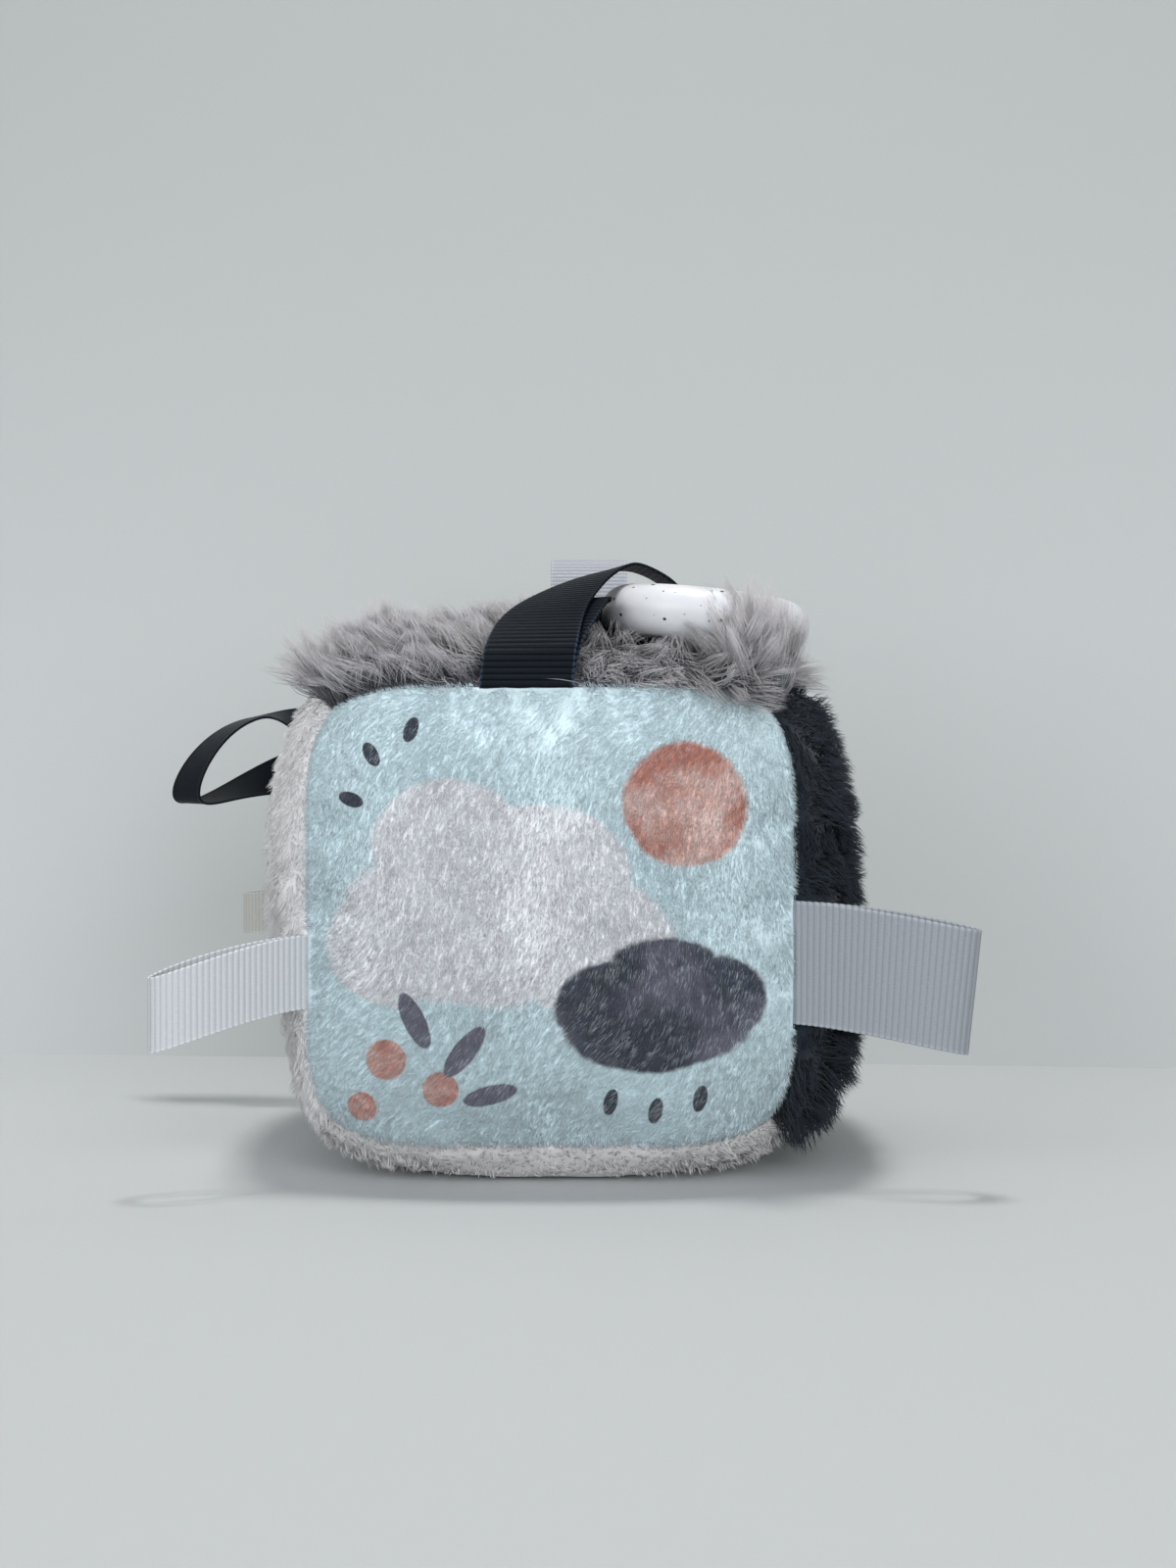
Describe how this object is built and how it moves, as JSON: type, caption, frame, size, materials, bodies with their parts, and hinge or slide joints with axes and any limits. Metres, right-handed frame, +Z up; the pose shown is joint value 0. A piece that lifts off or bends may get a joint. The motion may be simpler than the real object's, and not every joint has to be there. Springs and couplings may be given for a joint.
{
  "type": "soft sensory block",
  "caption": "Stuffed fabric sensory block with panels of different plush, folded ribbon tabs and loops in its seams, and a speckled ring held in a ribbon.",
  "frame": {"origin": "middle of the bottom panel's flat underside, on the surface that the block stands on", "axes": "+Z up out of the fur panel, +X out of the dark right panel, -Y out of the blue front panel"},
  "size_m": [0.1838, 0.1238, 0.1373],
  "materials": {
    "blue_plush": "short silky pile, lighter where it is brushed",
    "blush_plush": "short upright pile",
    "dark_plush": "deep curly pile",
    "grey_fur": "long faux fur, light tips over dark roots",
    "warm_grey_plush": "short upright pile",
    "fibre_filling": "loose fibre, not seen",
    "white_ribbon": "ribbed grosgrain",
    "silver_ribbon": "ribbed grosgrain with a sheen",
    "grey_ribbon": "ribbed grosgrain",
    "taupe_ribbon": "ribbed grosgrain",
    "black_satin": "smooth satin",
    "black_grosgrain": "ribbed grosgrain",
    "speckled_silicone": "soft satin silicone with black specks"
  },
  "bodies": {
    "block": {"front_panel": "blue_plush", "back_panel": "blush_plush", "left_panel": "blush_plush", "right_panel": "dark_plush", "top_fur_panel": "grey_fur", "bottom_panel": "warm_grey_plush", "stuffing": "fibre_filling", "white_tab_ends": "white_ribbon", "silver_tab_ends": "silver_ribbon", "grey_top_tab_ends": "grey_ribbon", "taupe_tab_ends": "taupe_ribbon", "black_side_loop_ends": "black_satin", "black_ring_loop_ends": "black_grosgrain"},
    "white_ribbon": {"white_tab": "white_ribbon"},
    "silver_ribbon": {"silver_tab": "silver_ribbon"},
    "grey_ribbon": {"grey_top_tab": "grey_ribbon"},
    "taupe_ribbon": {"taupe_tab": "taupe_ribbon"},
    "side_ribbon": {"black_side_loop": "black_satin"},
    "ring_ribbon": {"black_ring_loop": "black_grosgrain"},
    "ring": {"speckled_ring": "speckled_silicone"}
  },
  "joints": [
    {"name": "white_tab_flex", "type": "hinge", "parent": "block", "child": "white_ribbon", "pos_m": [-0.05006, -0.05056, 0.044], "axis": [0, 0, 1], "range_deg": [-45, 90], "stiffness_Nm_per_rad": 0.004},
    {"name": "silver_tab_flex", "type": "hinge", "parent": "block", "child": "silver_ribbon", "pos_m": [0.05006, -0.05056, 0.0459], "axis": [0, 0, 1], "range_deg": [-90, 40], "stiffness_Nm_per_rad": 0.004},
    {"name": "grey_top_tab_flex", "type": "hinge", "parent": "block", "child": "grey_ribbon", "pos_m": [0.0077, 0.05057, 0.10257], "axis": [1, 0, 0], "range_deg": [-90, 36], "stiffness_Nm_per_rad": 0.004},
    {"name": "taupe_tab_flex", "type": "hinge", "parent": "block", "child": "taupe_ribbon", "pos_m": [-0.05007, 0.05057, 0.0505], "axis": [0, 0, 1], "range_deg": [-90, 33], "stiffness_Nm_per_rad": 0.004},
    {"name": "side_loop_flex", "type": "hinge", "parent": "block", "child": "side_ribbon", "pos_m": [-0.04935, 0.04985, 0.0855], "axis": [0, 0, 1], "range_deg": [-50, 25], "stiffness_Nm_per_rad": 0.004},
    {"name": "ring_loop_flex", "type": "hinge", "parent": "block", "child": "ring_ribbon", "pos_m": [-0.005, -0.05057, 0.10257], "axis": [1, 0, 0], "range_deg": [0, 125]},
    {"name": "ring_swing", "type": "hinge", "parent": "ring_ribbon", "child": "ring", "pos_m": [0.01575, -0.02348, 0.11895], "axis": [0.0867, -0.9962, -0.0091], "range_deg": [0, 80]}
  ]
}
